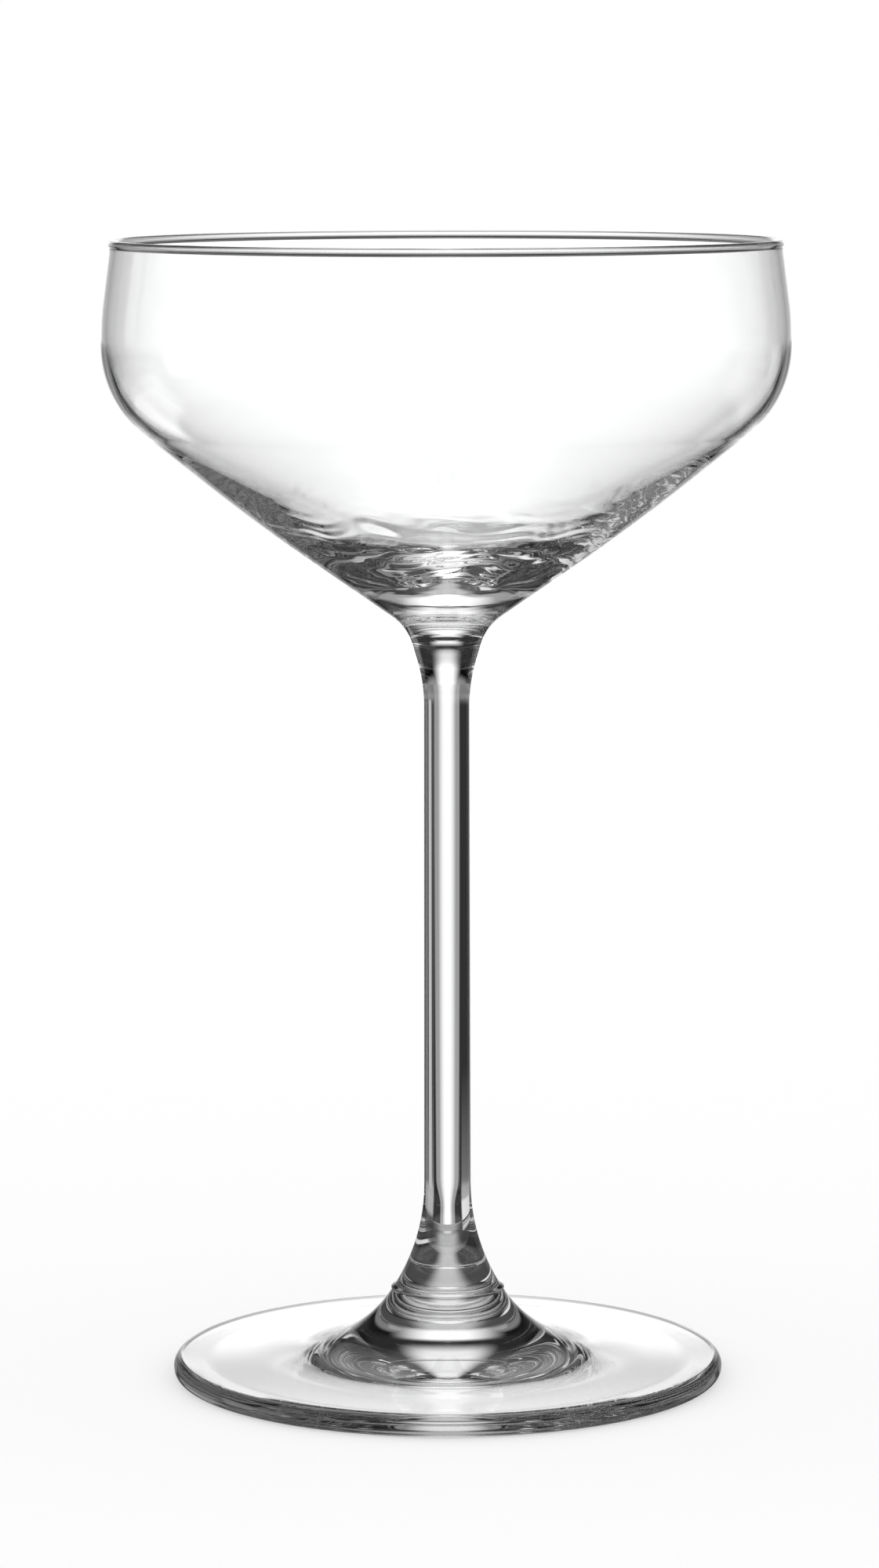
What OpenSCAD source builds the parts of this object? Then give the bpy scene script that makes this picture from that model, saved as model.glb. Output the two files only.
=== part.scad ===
// Coupe glass: a wide shallow bowl on a tall plain stem and a round foot.
// Three pieces of clear glass, each turned about the same upright axis and welded end to end.
// Millimetres, +Z up, origin on the table under the middle of the foot.

/* [Bowl] */
// Height of the rim above the table
glass_h = 174; // [164:0.5:186]
// Outside diameter of the bowl at its widest
bowl_d = 104; // [94:0.5:114]
// Outside diameter at the rim
rim_d = 101.6; // [92:0.2:103.6]
// Thickness of the fire-polished bead at the rim
bead_d = 1.3; // [1:0.05:1.8]
// Wall thickness of the upright side
side_wall = 0.85; // [0.7:0.05:1]
// Wall thickness of the upper flank
shoulder_wall = 1.2; // [0.8:0.05:1.6]
// Diameter of the inside where the wall starts to thicken towards the bottom
swell_d = 76; // [66:0.5:80]
// Radius that eases the wall into that thickening
swell_r = 180; // [80:5:200]
// Depth below the rim where the side is first at its widest
belly_drop = 12; // [9:0.5:13]
// Depth below the rim of the corner between the side and the flank
side_h = 24; // [23:0.5:28]
// Outside radius of that corner
shoulder_r = 17; // [8:0.5:18]
// Inside radius of that corner
inner_shoulder_r = 15.8; // [8:0.1:17]
// Radius that eases the side into its widest stretch
belly_r = 45; // [20:1:60]
// How far the flank bows below a straight cone
flank_bow = 1.4; // [0.8:0.1:2.4]
// Radius of that bow
flank_r = 300; // [150:10:320]
// Height of the bowl piece, from the weld on the stem to the rim
bowl_h = 67; // [64:0.5:72]
// Height of the inside cone's point above the weld, before it is rounded
cone_tip_h = 7.9; // [7:0.1:9.5]
// Radius of the rounded well at the bottom of the inside
well_r = 48.5; // [40:0.5:52]

/* [Neck] */
// Height of the neck, from the weld to where it opens into the flank
neck_h = 8.5; // [7.5:0.1:10]
// How far the neck opens from upright, in degrees
neck_angle = 16.5; // [12:0.5:20]
// Radius between the stem and the neck
neck_low_r = 25; // [15:1:28]
// Radius between the neck and the flank
neck_high_r = 8; // [4:0.5:9]

/* [Stem] */
// Diameter of the stem at its top
stem_top_d = 6.9; // [6:0.1:8]
// Diameter of the stem above its flare
stem_low_d = 7.2; // [6.4:0.1:8.4]
// How far the flare opens from upright, in degrees
flare_angle = 33; // [28:0.5:36]
// Radius between the stem and the flare
flare_r = 30; // [15:1:40]

/* [Foot] */
// Diameter of the foot
foot_d = 84.4; // [74:0.2:94]
// Thickness of the foot at its edge
edge_t = 3.2; // [2.6:0.1:4]
// Radius that rounds the edge, above and below
edge_r = 1.5; // [0.8:0.1:1.6]
// Slope of the top of the foot, in degrees
foot_slope = 2; // [1:0.1:3]
// Radius between the top of the foot and the flare
fillet_r = 20; // [10:0.5:22]
// Height of the weld between the foot and the stem
weld_h = 13.3; // [12:0.1:15]
// Diameter at that weld
weld_d = 17; // [15.5:0.1:18.5]
// How far the weld's bead stands proud of the flare
weld_proud = 0.2; // [0.1:0.05:0.35]
// Thickness of that bead
weld_bead_d = 0.9; // [0.6:0.05:1.2]
// Width of the flat ring that the glass rests on
ring_w = 4; // [2:0.5:8]
// Rise of the hollow underside at its middle
kick_h = 1; // [0.5:0.1:1.6]

/* [Hidden] */
$fn = 128;

// Facets of an arc that is too large for the plain number
fine = 256;

// How far an arc runs past the sides that it meets
overlap = 0.001;

glass_colour = [0.86, 0.9, 0.9, 0.35];

// The welds part the outside line at these heights
foot_weld_z = weld_h;
bowl_weld_z = glass_h - bowl_h;

// Outside line: the foot and the flare
foot_r = foot_d / 2;
weld_r = weld_d / 2;
slope_run = tan(foot_slope);
flare_run = tan(flare_angle);
root_r = (weld_r + (weld_h - edge_t - foot_r * slope_run) * flare_run) / (1 - slope_run * flare_run);
root_z = edge_t + (foot_r - root_r) * slope_run;
flare_z = weld_h + (weld_r - stem_low_d / 2) / flare_run;

// The bead left by the lower weld, cut level where it meets the foot
weld_bead_r = weld_bead_d / 2;
weld_bead_at = [weld_r + weld_proud - weld_bead_r, foot_weld_z + weld_bead_r / 2];

// Outside line: the neck and the bowl
side_r = bowl_d / 2;
neck_z = bowl_weld_z + neck_h;
neck_r = stem_top_d / 2 + neck_h * tan(neck_angle);
shoulder_z = glass_h - side_h;
belly_z = glass_h - belly_drop;
bead_r = bead_d / 2;
bead_at = [rim_d / 2 - bead_r, glass_h - bead_r];
bow_at = [(side_r + neck_r) / 2, (shoulder_z + neck_z) / 2 - flank_bow];

// Inside line
inner_r = side_r - side_wall;
upper_slope = (shoulder_z - bow_at[1]) / (side_r - bow_at[0]);
upper_angle = atan(upper_slope);
inner_lift = shoulder_wall / cos(upper_angle);
inner_shoulder_z = shoulder_z - side_wall * upper_slope + inner_lift;
swell_at = [swell_d / 2, shoulder_z - (side_r - swell_d / 2) * upper_slope + inner_lift];
tip_z = bowl_weld_z + cone_tip_h;
above_rim = 2;

// Underside
ring_inner_r = foot_r - edge_r - ring_w;
hollow_r = (ring_inner_r * ring_inner_r + kick_h * kick_h) / (2 * kick_h);

function unit(v) = v / norm(v);
function spot(p) = [p[0], p[1]];
function cross_2d(a, b) = a[0] * b[1] - a[1] * b[0];

// An outline is a list of [radius from the axis, height, corner radius], anticlockwise.
// A corner radius of 0 is sharp.
function around(outline, i) = (i + len(outline)) % len(outline);
function corner(outline, i) = spot(outline[around(outline, i)]);
function along(outline, i) = corner(outline, i + 1) - corner(outline, i);
function to_next(outline, i) = unit(along(outline, i));
function to_last(outline, i) = -to_next(outline, i - 1);
function turns_left(outline, i) = cross_2d(to_next(outline, i - 1), to_next(outline, i)) > 0;
function half_angle(outline, i) = acos(to_last(outline, i) * to_next(outline, i)) / 2;

// Two corners that share a side too short for both are made smaller together, to fill this share of it
fill = 0.98;
function wanted(outline, i) = outline[around(outline, i)][2] / tan(half_angle(outline, i));
function room(outline, i) = let (want = wanted(outline, i) + wanted(outline, i + 1))
    want > 0 ? min(1, fill * norm(along(outline, i)) / want) : 1;
function reach(outline, i) = wanted(outline, i) * min(room(outline, i - 1), room(outline, i));
function arc_r(outline, i) = reach(outline, i) * tan(half_angle(outline, i));
function arc_start(outline, i) = corner(outline, i) + to_last(outline, i) * reach(outline, i);
function arc_end(outline, i) = corner(outline, i) + to_next(outline, i) * reach(outline, i);
function arc_centre(outline, i) = corner(outline, i)
    + unit(to_last(outline, i) + to_next(outline, i)) * arc_r(outline, i) / sin(half_angle(outline, i));
function with_chords(outline) = [
    for (i = [0 : len(outline) - 1])
        each outline[i][2] > 0 ? [arc_start(outline, i), arc_end(outline, i)] : [corner(outline, i)]
];

// The areas between the arcs and their chords, at the corners that turn left or at those that turn right.
// Each arc runs a hair past the two sides it meets, so that it crosses them and leaves no sliver.
module arc_segments(outline, left) {
    for (i = [0 : len(outline) - 1])
        if (outline[i][2] > 0 && turns_left(outline, i) == left) {
            r = arc_r(outline, i) + overlap;
            run = 2 * sqrt(2 * r * overlap);
            from = arc_start(outline, i);
            to = arc_end(outline, i);
            past = unit(to - from) * run;
            out = corner(outline, i) - (from + to) / 2;
            back = unit(out) * 2 * run;
            intersection() {
                translate(arc_centre(outline, i)) circle(r, $fn = fine);
                polygon([from - past - back, to + past - back, to + past + out, from - past + out]);
            }
        }
}

// A filled outline with true arcs at its rounded corners
module rounded(outline) {
    difference() {
        union() {
            polygon(with_chords(outline));
            arc_segments(outline, true);
        }
        arc_segments(outline, false);
    }
}

// The whole glass in half section, filled, up to the middle of the rim's bead
module outside() {
    rounded([
        [0, 0, 0],
        [foot_r, 0, edge_r],
        [foot_r, edge_t, edge_r],
        [root_r, root_z, fillet_r],
        [stem_low_d / 2, flare_z, flare_r],
        [stem_top_d / 2, bowl_weld_z, neck_low_r],
        [neck_r, neck_z, neck_high_r],
        [bow_at[0], bow_at[1], flank_r],
        [side_r, shoulder_z, shoulder_r],
        [side_r, belly_z, belly_r],
        [bead_at[0] + side_wall / 2, bead_at[1], 0],
        [0, bead_at[1], 0]
    ]);
}

// The hollow of the bowl, carried a little past the axis so that its well is rounded on both sides
module inside() {
    rounded([
        [0, tip_z, well_r],
        [swell_at[0], swell_at[1], swell_r],
        [inner_r, inner_shoulder_z, inner_shoulder_r],
        [inner_r, belly_z, belly_r],
        [bead_at[0] - side_wall / 2, bead_at[1], 0],
        [bead_at[0] - side_wall / 2, glass_h + above_rim, 0],
        [-swell_at[0], glass_h + above_rim, 0],
        [-swell_at[0], swell_at[1], 0]
    ]);
}

// The part of the outside between two heights
module between(low, high) {
    intersection() {
        outside();
        translate([0, low]) square([bowl_d, high - low]);
    }
}

module bowl() {
    color(glass_colour) rotate_extrude() union() {
        difference() {
            between(bowl_weld_z, glass_h);
            inside();
        }
        translate(bead_at) circle(bead_r);
    }
}

module stem() {
    color(glass_colour) rotate_extrude() union() {
        between(foot_weld_z, bowl_weld_z);
        intersection() {
            translate(weld_bead_at) circle(weld_bead_r);
            translate([0, foot_weld_z]) square(weld_d);
        }
    }
}

module foot() {
    color(glass_colour) rotate_extrude() difference() {
        between(0, foot_weld_z);
        translate([0, kick_h - hollow_r]) circle(hollow_r, $fn = fine);
    }
}

bowl();
stem();
foot();
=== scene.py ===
import math

import bpy
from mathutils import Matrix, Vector, noise


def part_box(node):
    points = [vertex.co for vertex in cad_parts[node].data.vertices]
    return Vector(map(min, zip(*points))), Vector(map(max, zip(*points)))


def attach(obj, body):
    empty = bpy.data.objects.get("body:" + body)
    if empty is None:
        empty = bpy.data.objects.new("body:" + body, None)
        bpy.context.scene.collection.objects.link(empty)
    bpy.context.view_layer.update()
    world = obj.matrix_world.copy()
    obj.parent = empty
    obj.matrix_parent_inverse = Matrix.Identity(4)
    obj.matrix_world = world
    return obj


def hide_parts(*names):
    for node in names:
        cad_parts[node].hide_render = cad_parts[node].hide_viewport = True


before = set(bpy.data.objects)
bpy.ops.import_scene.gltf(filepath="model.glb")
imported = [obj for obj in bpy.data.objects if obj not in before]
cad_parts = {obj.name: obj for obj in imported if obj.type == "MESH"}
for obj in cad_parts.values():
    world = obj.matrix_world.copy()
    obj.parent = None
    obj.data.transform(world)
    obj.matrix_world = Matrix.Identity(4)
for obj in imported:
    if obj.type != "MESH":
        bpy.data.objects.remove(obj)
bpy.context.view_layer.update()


# Bowl
# Blown clear glass with a fire-polished bead at the rim. The side is thin, the wall swells towards the
# bottom, and the bottom is drawn down to a short neck whose end is welded to the stem.

MM = 0.001

bowl_low, bowl_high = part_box("bowl")
rim_z = bowl_high.z
bowl_weld_z = bowl_low.z
side_r = bowl_high.x

rim_r = 50.8 * MM
bead_r = 0.65 * MM
bead_turn = math.radians(40)
# The lower half of the bead is darkened towards black, a painted shade line for the dark set it shows.
bead_painted_shade = 0.8
bead_painted_shade_soft = 0.1 * MM
lip_bend = 0.22 * MM
side_wall = 0.85 * MM
belly_z = rim_z - 12 * MM
belly_bend = 45 * MM
shoulder_z = rim_z - 24 * MM
shoulder_bend = 17 * MM
flank_bow = 1.4 * MM
flank_bend = 300 * MM
neck_z = bowl_weld_z + 8.5 * MM
neck_angle = math.radians(16.5)
neck_bend = 8 * MM
inner_shoulder_bend = 16.8 * MM
shoulder_wall = 1.2 * MM
swell_r = 38 * MM
swell_bend = 180 * MM
tip_z = bowl_weld_z + 7.9 * MM
well_bend = 48.5 * MM
outline_step = 0.8 * MM
bowl_around = 228
bowl_tint = 0.995
bowl_grain = (9 * MM, 9 * MM, 9 * MM)
bowl_grain_h = 0.0008 * MM

# The stem below the bowl, whose outside runs on into the neck without a step
foot_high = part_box("foot")[1]
foot_weld_z = foot_high.z
foot_weld_r = 8.5 * MM
flare_angle = math.radians(33)
flare_bend = 30 * MM
stem_low_r = 3.6 * MM
stem_top_r = 3.45 * MM
stem_bend = 25 * MM
flare_z = foot_weld_z + (foot_weld_r - stem_low_r) / math.tan(flare_angle)

neck_r = stem_top_r + (neck_z - bowl_weld_z) * math.tan(neck_angle)
bow_r = (side_r + neck_r) / 2
bow_z = (shoulder_z + neck_z) / 2 - flank_bow
bead_at_r = rim_r - bead_r
bead_z = rim_z - bead_r
lip_z = bead_z - bead_r * math.sin(bead_turn)
lip_z -= (bead_r * math.cos(bead_turn) - side_wall / 2) / math.tan(bead_turn)
bead_corner_z = bead_z - bead_r * math.tan(bead_turn / 2)

# The inside of the wall, whose bend at the shoulder ends beside the outer one so that no line shows there
inner_r = side_r - side_wall
flank_slope = (shoulder_z - bow_z) / (side_r - bow_r)
inner_lift = shoulder_wall / math.cos(math.atan(flank_slope))
inner_shoulder_z = shoulder_z - side_wall * flank_slope + inner_lift
swell_z = shoulder_z - (side_r - swell_r) * flank_slope + inner_lift


def rounded(corners, step):
    """The line through corners of (radius, height, bend), as points no further apart than the step."""
    stops = [Vector(corners[0][:2])]
    for last, here, following in zip(corners, corners[1:], corners[2:]):
        at = Vector(here[:2])
        bend = here[2]
        back = (Vector(last[:2]) - at).normalized()
        on = (Vector(following[:2]) - at).normalized()
        half = back.angle(on) / 2
        centre = at + (back + on).normalized() * bend / math.sin(half)
        start = at + back * bend / math.tan(half) - centre
        turn = math.copysign(math.pi - 2 * half, back.y * on.x - back.x * on.y)
        finest = math.radians(4)
        count = max(1, math.ceil(abs(turn) * bend / step), math.ceil(abs(turn) / finest)) if bend else 0
        for i in range(count + 1):
            angle = turn * i / count if count else 0
            stops.append(centre + Vector((
                start.x * math.cos(angle) - start.y * math.sin(angle),
                start.x * math.sin(angle) + start.y * math.cos(angle),
            )))
    stops.append(Vector(corners[-1][:2]))
    points = [stops[0]]
    for a, b in zip(stops, stops[1:]):
        count = math.ceil((b - a).length / step - 0.001)
        points += [a.lerp(b, i / count) for i in range(1, count + 1)]
    return points


def stretch(line, low, high):
    """The part of a rising line between two heights, with a point at each end."""
    ends = []
    for z in (low, high):
        below, above = next((a, b) for a, b in zip(line, line[1:]) if b.y >= z)
        ends.append(below.lerp(above, (z - below.y) / (above.y - below.y)))
    spare = 0.05 * MM
    return [ends[0]] + [p for p in line if low + spare < p.y < high - spare] + [ends[1]]


class Wire:
    """An output in a node tree, or the tree alone. Sums and products of wires are Math nodes."""

    def __init__(self, tree, out=None):
        self.tree = tree
        self.out = out

    def node(self, kind, settings, sockets, out=0):
        """One output of a new node, after its settings and then its sockets' numbers, colours or wires."""
        made = self.tree.nodes.new(kind)
        for name, setting in settings.items():
            setattr(made, name, setting)
        for name, value in sockets.items():
            if isinstance(value, Wire):
                self.tree.links.new(value.out, made.inputs[name])
            else:
                made.inputs[name].default_value = value
        return Wire(self.tree, made.outputs[out] if made.outputs else None)

    def maths(self, operation, *operands):
        return self.node("ShaderNodeMath", {"operation": operation}, dict(enumerate(operands)))

    def __add__(self, other):
        return self.maths("ADD", self, other)

    __radd__ = __add__

    def __sub__(self, other):
        return self.maths("SUBTRACT", self, other)

    def __rsub__(self, other):
        return self.maths("SUBTRACT", other, self)

    def __mul__(self, other):
        return self.maths("MULTIPLY", self, other)

    __rmul__ = __mul__

    def __truediv__(self, other):
        return self.maths("DIVIDE", self, other)

    def __rtruediv__(self, other):
        return self.maths("DIVIDE", other, self)

    def largest(self, other):
        return self.maths("MAXIMUM", self, other)

    def ramp(self, start, end, low=0, high=1):
        """A smooth step from low to high as the wire goes from start to end."""
        return self.node("ShaderNodeMapRange", {"interpolation_type": "SMOOTHSTEP"}, {
            "Value": self, "From Min": start, "From Max": end, "To Min": low, "To Max": high})


def new_material(name):
    material = bpy.data.materials.new(name)
    material.use_nodes = True
    material.node_tree.nodes.clear()
    return material, Wire(material.node_tree)


def clear_glass(name, tint, grain, grain_h, painted_shade_and_absorption=None, scuff=None):
    """Clear soda glass: a faint tint, cords in it as wide as the grain, painted shade and absorption towards
    black where a mask is given, and a little haze.
    """
    material, tree = new_material(name)
    place = tree.node("ShaderNodeTexCoord", {}, {}, "Object")
    along = tree.node("ShaderNodeVectorMath", {"operation": "DIVIDE"}, {0: place, 1: grain})
    cords = tree.node("ShaderNodeTexNoise", {}, {"Vector": along, "Scale": 1, "Detail": 2})
    plain = (tint, tint, tint, 1)
    cool = (tint - 0.01, tint - 0.005, tint - 0.005, 1)
    shade_black = (0, 0, 0, 1)
    # The two colours of a Mix node are its sockets 6 and 7, and the mixed colour is its output 2
    colour = tree.node("ShaderNodeMix", {"data_type": "RGBA"}, {"Factor": cords, 6: cool, 7: plain}, 2)
    # Where a mask is given the colour is mixed towards black: painted shade, which on the foot also stands
    # in for absorption.
    if painted_shade_and_absorption:
        darkened = {"Factor": painted_shade_and_absorption(place), 6: colour, 7: shade_black}
        colour = tree.node("ShaderNodeMix", {"data_type": "RGBA"}, darkened, 2)
    haze = cords.ramp(0.45, 0.75, 0, 0.03)
    if scuff:
        haze = haze.largest(scuff(place))
    surface = tree.node("ShaderNodeBump", {}, {"Height": cords, "Strength": 1, "Distance": grain_h})
    shader = tree.node("ShaderNodeBsdfPrincipled", {}, {
        "Base Color": colour, "Roughness": haze, "Normal": surface, "IOR": 1.52, "Transmission Weight": 1})
    tree.node("ShaderNodeOutputMaterial", {}, {"Surface": shader})
    return material


# Where two pieces are welded the glass runs through, so neither of the two faces shows
weld_glass, weld_tree = new_material("weld_glass")
weld_tree.node("ShaderNodeOutputMaterial", {}, {
    "Surface": weld_tree.node("ShaderNodeBsdfTransparent", {}, {})})


def turned(name, outline, around, glass, welds):
    """A closed piece turned about the axis, where its outline starts and ends.

    The steps of the outline that welds gives the numbers of are weld faces.
    """
    verts = []
    rings = []
    for p in outline:
        count = around if p.x > 0 else 1
        rings.append([len(verts) + i % count for i in range(around)])
        for i in range(count):
            angle = math.tau * i / around
            verts.append((p.x * math.cos(angle), p.x * math.sin(angle), p.y))
    faces = []
    kinds = []
    for step, (low, high) in enumerate(zip(rings, rings[1:])):
        for i in range(around):
            j = (i + 1) % around
            corners = (low[i], low[j], high[j], high[i])
            faces.append(tuple(dict.fromkeys(corners)))
            kinds.append(int(step in welds))
    mesh = bpy.data.meshes.new(name)
    mesh.from_pydata(verts, [], faces)
    mesh.polygons.foreach_set("material_index", kinds)
    mesh.materials.append(glass)
    mesh.materials.append(weld_glass)
    mesh.shade_smooth()
    mesh.set_sharp_from_angle(angle=math.radians(40))
    piece = bpy.data.objects.new(name, mesh)
    bpy.context.collection.objects.link(piece)
    return piece


outside_line = rounded([
    (foot_weld_r, foot_weld_z, 0),
    (stem_low_r, flare_z, flare_bend),
    (stem_top_r, bowl_weld_z, stem_bend),
    (neck_r, neck_z, neck_bend),
    (bow_r, bow_z, flank_bend),
    (side_r, shoulder_z, shoulder_bend),
    (side_r, belly_z, belly_bend),
    (bead_at_r + side_wall / 2, lip_z, lip_bend),
    (rim_r, bead_corner_z, bead_r),
    (rim_r, rim_z, bead_r),
    (bead_at_r, rim_z, 0),
], outline_step)

# Blowing leaves slow waves and rings on the inside of the thick bottom. They die out up the flank, and
# they are calmer in the well.
wave_step = 0.35 * MM
wave_end_r = 38 * MM
wave_fade = 18 * MM
calm_r = 6 * MM
calm_fade = 10 * MM
calm_share = 0.3
slow_span = 9 * MM
slow_h = 0.1 * MM
slow_seed = Vector((0, 0, 0.3))
fine_span = 3.5 * MM
fine_h = 0.02 * MM
fine_seed = Vector((0, 0, 7.7))
ring_gap = 6.4 * MM
ring_h = 0.03 * MM
ring_sway = 0.4
ring_jitter = 0.05
ripple_gap = 2.4 * MM
ripple_h = 0.012 * MM
ripple_sway = 1.6
ripple_jitter = 0.3

inside_line = rounded([
    (bead_at_r, rim_z, 0),
    (bead_at_r - bead_r, rim_z, bead_r),
    (bead_at_r - bead_r, bead_corner_z, bead_r),
    (bead_at_r - side_wall / 2, lip_z, lip_bend),
    (inner_r, belly_z, belly_bend),
    (inner_r, inner_shoulder_z, inner_shoulder_bend),
    (swell_r, swell_z, swell_bend),
    (0, tip_z, well_bend),
    (-swell_r, swell_z, 0),
], wave_step)
well_z = min(p.y for p in inside_line)
bowl_outside = stretch(outside_line, bowl_weld_z, rim_z)
bowl_inside = [p for p in inside_line[1:] if p.x > wave_step]


def painted_rim_shade(place):
    """Share of painted shade on the lower half of the bead: a dark line standing in for the dark set that
    the bead shows.
    """
    height = place.node("ShaderNodeSeparateXYZ", {}, {0: place}, "Z")
    lower_half = height.ramp(bead_z + bead_painted_shade_soft, bead_z - bead_painted_shade_soft, 0, bead_painted_shade)
    return lower_half * height.ramp(lip_z - 2 * bead_painted_shade_soft, lip_z)


bowl_outline = [Vector((0, bowl_weld_z))] + bowl_outside + bowl_inside + [Vector((0, well_z))]
bowl_glass = clear_glass("bowl_glass", bowl_tint, bowl_grain, bowl_grain_h, painted_rim_shade)
bowl = turned("bowl_glass", bowl_outline, bowl_around, bowl_glass, {0})


def eased(start, end, value):
    """A smooth step from 0 to 1 as the value goes from start to end."""
    share = min(1, max(0, (value - start) / (end - start)))
    return share * share * (3 - 2 * share)


for vertex in bowl.data.vertices[1 + len(bowl_outside) * bowl_around:]:
    plan = Vector((vertex.co.x, vertex.co.y, 0))
    r = plan.length
    strength = eased(wave_end_r, wave_end_r - wave_fade, r)
    strength *= calm_share + (1 - calm_share) * eased(calm_r, calm_r + calm_fade, r)
    slow = noise.noise(plan / slow_span + slow_seed)
    fine = noise.noise(plan / fine_span + fine_seed)
    rings = math.sin(math.tau * (r / ring_gap + ring_sway * slow + ring_jitter * fine))
    ripples = math.sin(math.tau * (r / ripple_gap + ripple_sway * slow + ripple_jitter * fine))
    if vertex.co.z < belly_z:
        vertex.co.z += strength * (slow_h * slow + fine_h * fine + ring_h * rings + ripple_h * ripples)

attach(bowl, "root")
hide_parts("bowl")


# Stem
# A plain rod of the same glass, a hair thinner at the top, that flares out at its lower end.
# Its upper end is welded to the bowl's neck and its lower end to the foot, where a low bead is left.

stem_around = 128
stem_tint = 0.84
stem_grain = (2 * MM, 2 * MM, 30 * MM)
stem_grain_h = 0.001 * MM
weld_bead_low_r = foot_weld_r + 0.14 * MM
weld_bead_r = foot_weld_r + 0.24 * MM
weld_bead_h = 0.65 * MM
weld_bead_bend = 0.25 * MM
weld_bead_step = 0.2 * MM

stem_line = stretch(outside_line, foot_weld_z, bowl_weld_z)
stem_above_bead = [p for p in stem_line if p.y > foot_weld_z + weld_bead_h]
weld_bead = rounded([
    (weld_bead_low_r, foot_weld_z, 0),
    (weld_bead_r, foot_weld_z + weld_bead_h / 2, weld_bead_bend),
    (stem_above_bead[0].x, stem_above_bead[0].y, 0),
], weld_bead_step)
stem_outline = [Vector((0, foot_weld_z))] + weld_bead + stem_above_bead[1:] + [Vector((0, bowl_weld_z))]
stem_glass = clear_glass("stem_glass", stem_tint, stem_grain, stem_grain_h)
stem = turned("stem_glass", stem_outline, stem_around, stem_glass, {0, len(stem_outline) - 2})
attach(stem, "root")
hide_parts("stem")


# Foot
# A pressed, fire-polished disc with a round edge and a low boss that the stem is welded to.
# Its underside is hollow, so the glass stands on a flat ring, which is worn dull by tables.

foot_r = foot_high.x
edge_t = 3.2 * MM
edge_bend = 1.5 * MM
foot_slope = math.tan(math.radians(2))
ease_r = 28 * MM
ease_slope = math.tan(math.radians(5))
ease_bend = 120 * MM
fillet_bend = 19.5 * MM
ring_w = 4 * MM
kick_h = 1 * MM
# The rim of the foot is darkened towards black: partly the light that long paths through the glass take,
# partly painted shade for the dark bands it shows.
edge_absorption_and_painted_shade = 0.55
edge_absorption_and_painted_shade_start = 1.6 * MM
edge_absorption_and_painted_shade_full = 0.4 * MM
wear_h = 0.05 * MM
wear_gap = 0.5 * MM
wear_haze = 0.05
foot_around = 600
foot_tint = 0.9
foot_grain = (12 * MM, 12 * MM, 12 * MM)
foot_grain_h = 0.001 * MM
hollow_steps = 30

flare_run = math.tan(flare_angle)
ease_z = edge_t + (foot_r - ease_r) * foot_slope
root_r = foot_weld_r + (foot_weld_z - ease_z - ease_r * ease_slope) * flare_run
root_r /= 1 - ease_slope * flare_run
root_z = ease_z + (ease_r - root_r) * ease_slope
ring_r = foot_r - edge_bend - ring_w
hollow_bend = (ring_r ** 2 + kick_h ** 2) / (2 * kick_h)
hollow_line = []
for i in range(hollow_steps):
    r = ring_r * i / hollow_steps
    hollow_line.append(Vector((r, kick_h - hollow_bend + math.sqrt(hollow_bend ** 2 - r ** 2))))
foot_line = rounded([
    (ring_r, 0, 0),
    (foot_r, 0, edge_bend),
    (foot_r, edge_t, edge_bend),
    (ease_r, ease_z, ease_bend),
    (root_r, root_z, fillet_bend),
    (foot_weld_r, foot_weld_z, 0),
], outline_step)


def worn_ring(place):
    """Roughness of the fine scratches on the ring that touches the table."""
    height = place.node("ShaderNodeSeparateXYZ", {}, {0: place}, "Z")
    scratches = place.node("ShaderNodeTexNoise", {}, {"Vector": place, "Scale": 1 / wear_gap, "Detail": 3})
    return height.ramp(wear_h, wear_h / 5, 0, wear_haze) * scratches.ramp(0.5, 0.65)


def foot_edge_absorption_and_painted_shade(place):
    """Share of the darkening towards the rim of the foot: partly the light that the glass takes where it is
    looked through along the disc, partly painted shade for the dark set that the rim shows.
    """
    plan = place.node("ShaderNodeVectorMath", {"operation": "MULTIPLY"}, {0: place, 1: (1, 1, 0)})
    out = place.node("ShaderNodeVectorMath", {"operation": "LENGTH"}, {0: plan}, "Value")
    return out.ramp(foot_r - edge_absorption_and_painted_shade_start, foot_r - edge_absorption_and_painted_shade_full, 0, edge_absorption_and_painted_shade)


foot_outline = hollow_line + foot_line + [Vector((0, foot_weld_z))]
foot_glass = clear_glass("foot_glass", foot_tint, foot_grain, foot_grain_h, foot_edge_absorption_and_painted_shade, worn_ring)
foot = turned("foot_glass", foot_outline, foot_around, foot_glass, {len(foot_outline) - 2})
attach(foot, "root")
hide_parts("foot")


# Floor
# A round white table top under the glass. Half of its white is its own, so that it stays as pale as the
# room around it, and half is the room's light, so that it keeps the shadow of the glass.

floor_r = 450 * MM
floor_gap = 0.02 * MM
floor_sides = 96
floor_mesh = bpy.data.meshes.new("floor")
floor_angles = [math.tau * i / floor_sides for i in range(floor_sides)]
floor_mesh.from_pydata(
    [(floor_r * math.cos(angle), floor_r * math.sin(angle), -floor_gap) for angle in floor_angles],
    [], [range(floor_sides)])
floor = bpy.data.objects.new("floor", floor_mesh)
bpy.context.collection.objects.link(floor)
floor_white, floor_tree = new_material("floor_white")
half_white = (0.5, 0.5, 0.5, 1)
floor_tree.node("ShaderNodeOutputMaterial", {}, {"Surface": floor_tree.node("ShaderNodeAddShader", {}, {
    0: floor_tree.node("ShaderNodeBsdfDiffuse", {}, {"Color": half_white}),
    1: floor_tree.node("ShaderNodeEmission", {}, {"Color": half_white}),
})})
floor_mesh.materials.append(floor_white)
floor.visible_transmission = False
floor.visible_glossy = False


# Studio
# A white room lights everything evenly. What mirrors in the glass and what shows through it sees the set
# in that room: a lit sheet behind, softboxes and narrow cards at the sides, black flags and a black ceiling.
# The set is arranged for the camera's side. The left card and two of the softboxes keep the glass clear from
# the right, the front right and the back left. From most other sides it shows the dark set and looks smoked.

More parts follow.
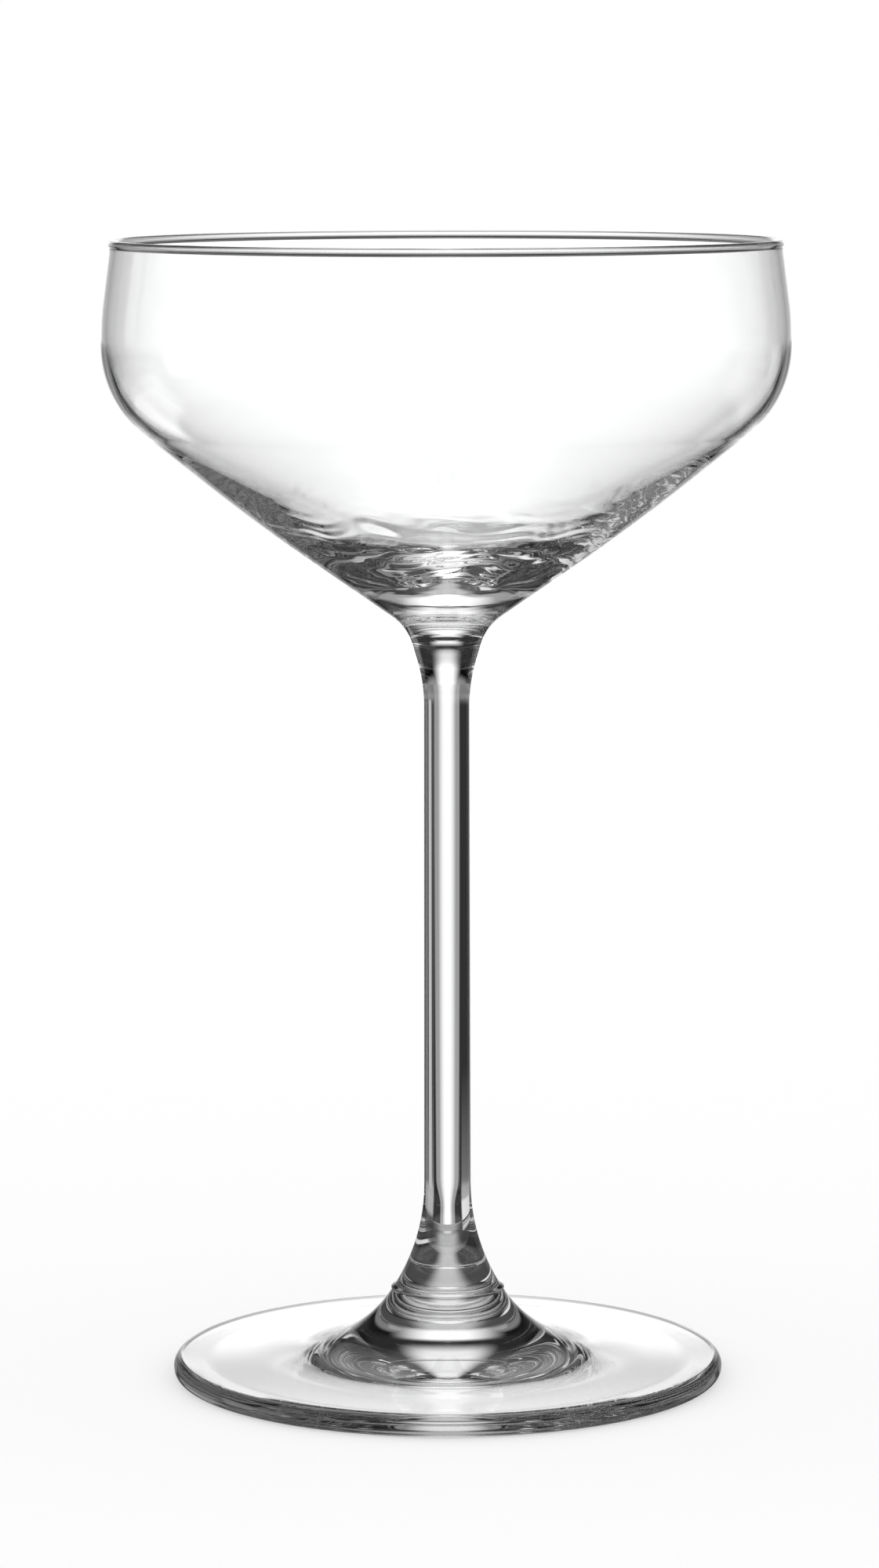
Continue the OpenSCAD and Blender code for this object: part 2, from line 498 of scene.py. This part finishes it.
world = bpy.data.worlds.new("studio")
bpy.context.scene.world = world
world.use_nodes = True
world.node_tree.nodes.clear()
room = Wire(world.node_tree)
look = room.node("ShaderNodeTexCoord", {}, {}, "Generated")
look_x, look_y, look_z = (room.node("ShaderNodeSeparateXYZ", {}, {0: look}, axis) for axis in "XYZ")
azimuth = room.maths("ARCTAN2", look_x, look_y)


def card(centre, half_width, soft, level):
    """Brightness of a tall card, centred at an azimuth and as wide as given, all in degrees."""
    facing = room.maths("COSINE", azimuth - math.radians(centre))
    inner = math.cos(math.radians(half_width))
    outer = math.cos(math.radians(half_width + soft))
    return facing.ramp(outer, inner, 0, level)


# Heights in the room are the upward share of a line of sight, where 0 is level and 1 is overhead.
# The sheet behind is brightest in the middle, narrows towards the table and ends in a dimmer margin.
aside = room.maths("ABSOLUTE", azimuth)
from_middle = aside / look_z.ramp(-0.34, -0.12, 0.5, 1)
sheet = from_middle.ramp(math.radians(24), math.radians(4), 0, 1.3)
margin = from_middle.ramp(math.radians(27), math.radians(22), 0, 0.42) * look_z.ramp(0.1, 0.03)
sheet = sheet.largest(margin) * look_z.ramp(-0.58, -0.46)

# Two narrow cards stand behind at the right, and a wide card at either side of the glass
narrow_card = card(centre=37.5, half_width=4, soft=2, level=0.6)
dim_card = card(centre=56, half_width=8, soft=3, level=0.25)
narrow_cards = narrow_card.largest(dim_card) * look_z.ramp(-0.02, -0.08)
left_card = card(centre=-92, half_width=16, soft=5, level=1) * look_z.ramp(0.06, 0, 0.25, 1)
right_card = card(centre=93, half_width=16, soft=5, level=0.13)
side_cards = narrow_cards.largest(left_card).largest(right_card) * look_z.ramp(-0.3, -0.22)

# Softboxes lie low, behind at the left and in front at the right, just where the glass is looked through
# from the front right and from the back left. One more stands above the camera.
back_softbox = card(centre=-45, half_width=15, soft=5, level=1)
back_softbox = back_softbox * look_z.ramp(-0.27, -0.34) * look_z.ramp(-0.58, -0.52)
front_softbox = card(centre=135, half_width=18, soft=5, level=1)
front_softbox = front_softbox * look_z.ramp(-0.14, -0.2) * look_z.ramp(-0.45, -0.38)
camera_softbox = look_y.ramp(-0.3, -0.6) * look_z.ramp(0.03, 0.08, 0, 0.9)
softboxes = back_softbox.largest(front_softbox).largest(camera_softbox)

# Black flags stand at both sides, with a strip of grey wall above them and another below
high_wall = look_z.ramp(-0.1, -0.02, 0.03, 0.25) * look_z.ramp(0.16, 0.08)
low_wall = aside.ramp(math.radians(25), math.radians(30)) * aside.ramp(math.radians(68), math.radians(63))
low_wall = low_wall * look_z.ramp(-0.17, -0.24, 0, 0.5) * look_z.ramp(-0.48, -0.4)
grey_walls = high_wall.largest(low_wall)

# The table is pale in the middle, and the dark ceiling has one light in it
off_middle = room.maths("ABSOLUTE", look_x)
table = look_z.ramp(-0.42, -0.6) * off_middle.ramp(0.3, 0.1, 0.08, 0.6)
ceiling_dark = 0.025
ceiling = look_z.ramp(0.17, 0.27)
ceiling_light = look_z.ramp(0.28, 0.5) * look_z.ramp(0.95, 0.91) * off_middle.ramp(0.4, 0.12)
below_ceiling = sheet.largest(side_cards).largest(softboxes).largest(grey_walls).largest(table)
seen_in_glass = below_ceiling * (1 - ceiling) + ceiling_light.largest(ceiling_dark) * ceiling

white = (1, 1, 1, 1)
glossy = room.node("ShaderNodeLightPath", {}, {}, "Is Glossy Ray")
transmitted = room.node("ShaderNodeLightPath", {}, {}, "Is Transmission Ray")
room.node("ShaderNodeOutputWorld", {}, {"Surface": room.node("ShaderNodeMixShader", {}, {
    0: glossy.largest(transmitted),
    1: room.node("ShaderNodeBackground", {}, {"Color": white, "Strength": 1}),
    2: room.node("ShaderNodeBackground", {}, {"Color": white, "Strength": seen_in_glass}),
})})


# Camera
# A long lens a little above the rim, tilted down a little, as the glass was photographed.
# The light is followed far enough for what bounces along inside the wall and the foot.

tilt_down = math.radians(7.277)
roll = math.radians(-0.1)
light_bounces = 48

camera_data = bpy.data.cameras.new("camera")
camera_data.sensor_width = 36
camera_data.lens = 124.07
camera = bpy.data.objects.new("camera", camera_data)
bpy.context.collection.objects.link(camera)
camera.location = (-1.12 * MM, -815.6 * MM, 195.6 * MM)
camera.rotation_mode = "ZYX"
camera.rotation_euler = (math.pi / 2 - tilt_down, 0, roll)

scene = bpy.context.scene
scene.camera = camera
scene.view_settings.view_transform = "Standard"
scene.cycles.max_bounces = light_bounces
scene.cycles.transmission_bounces = light_bounces
scene.cycles.glossy_bounces = light_bounces
scene.cycles.transparent_max_bounces = light_bounces
